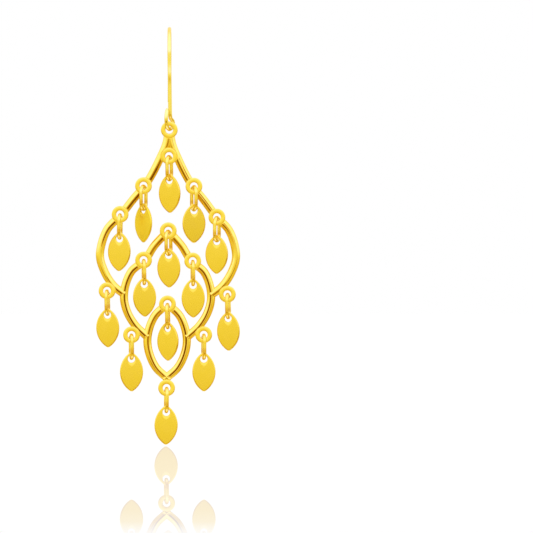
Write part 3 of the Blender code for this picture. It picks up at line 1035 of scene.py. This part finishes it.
def floor_finish():
    """White acrylic lit from below, with a faint mirror that fades out towards the front."""
    material = bpy.data.materials.new("lit_floor")
    material.use_nodes = True
    tree = material.node_tree
    tree.nodes.remove(tree.nodes["Principled BSDF"])
    white = tree.nodes.new("ShaderNodeEmission")
    white.inputs["Color"].default_value = (1, 1, 1, 1)
    mirror = tree.nodes.new("ShaderNodeBsdfGlossy")
    mirror.inputs["Color"].default_value = (1, 1, 1, 1)
    mirror.inputs["Roughness"].default_value = 0
    where = tree.nodes.new("ShaderNodeTexCoord")
    split = tree.nodes.new("ShaderNodeSeparateXYZ")
    fade = tree.nodes.new("ShaderNodeMapRange")
    fade.inputs["From Min"].default_value = MIRROR_END
    fade.inputs["From Max"].default_value = MIRROR_START
    shares = tree.nodes.new("ShaderNodeValToRGB")
    set_ramp(shares, [(stop.place, (stop.share,) * 3) for stop in MIRRORS])
    grazing = tree.nodes.new("ShaderNodeFresnel")
    grazing.inputs["IOR"].default_value = FLOOR_IOR
    reflected = tree.nodes.new("ShaderNodeMath")
    reflected.operation = "MULTIPLY"
    mixed = tree.nodes.new("ShaderNodeMixShader")
    wire_nodes(
        tree,
        (where.outputs["Object"], split.inputs["Vector"]),
        (split.outputs["Y"], fade.inputs["Value"]),
        (fade.outputs["Result"], shares.inputs["Fac"]),
        (shares.outputs["Color"], reflected.inputs[0]),
        (grazing.outputs["Fac"], reflected.inputs[1]),
        (reflected.outputs["Value"], mixed.inputs["Fac"]),
        (white.outputs["Emission"], mixed.inputs[1]),
        (mirror.outputs["BSDF"], mixed.inputs[2]),
        (mixed.outputs["Shader"], tree.nodes["Material Output"].inputs["Surface"]),
    )
    return material


floor_mesh.materials.append(floor_finish())

# The light in front by the height of where it comes from, from -1 straight below to 1 straight above
Glow = namedtuple("Glow", "height color")
GLOWS = (
    Glow(-1.00, (0.82, 0.80, 0.80)),
    Glow(-0.82, (0.82, 0.79, 0.80)),
    Glow(-0.74, (0.66, 0.56, 0.18)),
    Glow(-0.63, (0.48, 0.34, 0.06)),
    Glow(-0.50, (0.58, 0.45, 0.09)),
    Glow(-0.28, (0.60, 0.46, 0.09)),
    Glow(-0.10, (0.62, 0.53, 0.17)),
    Glow(-0.04, (0.66, 0.61, 0.23)),
    Glow(0.00, (0.69, 0.66, 0.27)),
    Glow(0.06, (0.73, 0.71, 0.42)),
    Glow(0.13, (0.79, 0.79, 0.86)),
    Glow(0.26, (0.86, 0.86, 1.00)),
)
GLOW_STRENGTH = 1.5

# Darker shapes in the light in front, by the sideways and upward parts of the direction they lie in: the
# low band beyond the table, and an upright post at its right end
Shade = namedtuple("Shade", "left right low high")
SHADES = (
    Shade(-0.57, 0.51, -0.32, -0.17),
    Shade(0.39, 0.51, -0.32, 0.18),
)
SHADE_SOFT = 0.02
SHADE_COLOR = (0.42, 0.30, 0.14)

# The light from behind is this share of that from the front, but for the backdrop's white foot. The places
# are along the backward part of the direction, and BEYOND is past the end of any part of a direction.
BACK_SHARE = (0.82, 0.75, 0.48)
BACK_START = -0.10
BACK_FULL = 0.60
FOOT_START = 0.9
FOOT_HALF = 0.05
FOOT_WHITE = 0.7
BEYOND = 2


def number_node(tree, operation, *values):
    """A calculation on numbers, each a value or a socket, as its result's socket."""
    node = tree.nodes.new("ShaderNodeMath")
    node.operation = operation
    for socket, value in zip(node.inputs, values):
        if isinstance(value, (int, float)):
            socket.default_value = value
        else:
            tree.links.new(value, socket)
    return node.outputs["Value"]


def ranged(tree, value, low, high, to_low, to_high):
    """The value moved from one range to another, held within it, smooth at both ends."""
    node = tree.nodes.new("ShaderNodeMapRange")
    node.interpolation_type = "SMOOTHSTEP"
    tree.links.new(value, node.inputs["Value"])
    for label, number in (("From Min", low), ("From Max", high), ("To Min", to_low), ("To Max", to_high)):
        node.inputs[label].default_value = number
    return node.outputs["Result"]


def within(tree, value, low, high):
    """One where the value lies between low and high, none outside, with soft edges."""
    above = ranged(tree, value, low - SHADE_SOFT, low + SHADE_SOFT, 0, 1)
    under = ranged(tree, value, high - SHADE_SOFT, high + SHADE_SOFT, 1, 0)
    return number_node(tree, "MULTIPLY", above, under)


world = bpy.data.worlds.new("studio_light")
bpy.context.scene.world = world
world.use_nodes = True
tree = world.node_tree
tree.nodes.clear()
where = tree.nodes.new("ShaderNodeTexCoord")
split = tree.nodes.new("ShaderNodeSeparateXYZ")
tree.links.new(where.outputs["Generated"], split.inputs["Vector"])

# Heights from -1 to 1 are places from 0 to 1 on the ramp
ramp = tree.nodes.new("ShaderNodeValToRGB")
set_ramp(ramp, [((glow.height + 1) / 2, glow.color) for glow in GLOWS])
height = number_node(tree, "MULTIPLY_ADD", split.outputs["Z"], 0.5, 0.5)
tree.links.new(height, ramp.inputs["Fac"])

# The front with its darker shapes, then the back as a share of it, and last the white foot behind
in_front = within(tree, split.outputs["Y"], -BEYOND, 0)
light = ramp.outputs["Color"]
for shade in SHADES:
    across = within(tree, split.outputs["X"], shade.left, shade.right)
    upward = within(tree, split.outputs["Z"], shade.low, shade.high)
    share = number_node(tree, "MULTIPLY", across, number_node(tree, "MULTIPLY", upward, in_front))
    shaded = blended(tree, "MULTIPLY", 1, light, (*SHADE_COLOR, 1))
    light = blended(tree, "MIX", share, light, shaded)
frontness = ranged(tree, split.outputs["Y"], BACK_START, BACK_FULL, 1, 0)
behind = blended(tree, "MULTIPLY", 1, light, (*BACK_SHARE, 1))
light = blended(tree, "MIX", frontness, behind, light)
foot = within(tree, split.outputs["Z"], -FOOT_HALF, FOOT_HALF)
foot = number_node(tree, "MULTIPLY", foot, within(tree, split.outputs["Y"], FOOT_START, BEYOND))
light = blended(tree, "MIX", foot, light, (FOOT_WHITE, FOOT_WHITE, FOOT_WHITE, 1))

# The camera itself sees plain white, and the metal this light
lit = tree.nodes.new("ShaderNodeBackground")
lit.inputs["Strength"].default_value = GLOW_STRENGTH
seen = tree.nodes.new("ShaderNodeBackground")
seen.inputs["Color"].default_value = (1, 1, 1, 1)
rays = tree.nodes.new("ShaderNodeLightPath")
either = tree.nodes.new("ShaderNodeMixShader")
output = tree.nodes.new("ShaderNodeOutputWorld")
wire_nodes(
    tree,
    (light, lit.inputs["Color"]),
    (rays.outputs["Is Camera Ray"], either.inputs["Fac"]),
    (lit.outputs["Background"], either.inputs[1]),
    (seen.outputs["Background"], either.inputs[2]),
    (either.outputs["Shader"], output.inputs["Surface"]),
)
bpy.context.scene.view_settings.view_transform = "Standard"

# The camera looks straight back from far in front. A pixel of the picture is PIXEL metres at the earring,
# and the origin lies at ORIGIN_PX in the picture.
PIXEL = 0.00018
PICTURE_PX = 533
ORIGIN_PX = (169.3, 30.4)
CAMERA_AWAY = 3.0
CLIP_START = 0.01
SENSOR_MM = 36

camera_data = bpy.data.cameras.new("camera")
camera_data.sensor_width = SENSOR_MM
camera_data.lens = SENSOR_MM * CAMERA_AWAY / (PICTURE_PX * PIXEL)
camera_data.clip_start = CLIP_START
camera = bpy.data.objects.new("camera", camera_data)
bpy.context.scene.collection.objects.link(camera)
middle_px = PICTURE_PX / 2
camera.location = (
    (middle_px - ORIGIN_PX[0]) * PIXEL,
    EYE_BOTTOM.y - CAMERA_AWAY,
    (ORIGIN_PX[1] - middle_px) * PIXEL,
)
camera.rotation_euler = (math.pi / 2, 0, 0)
bpy.context.scene.camera = camera
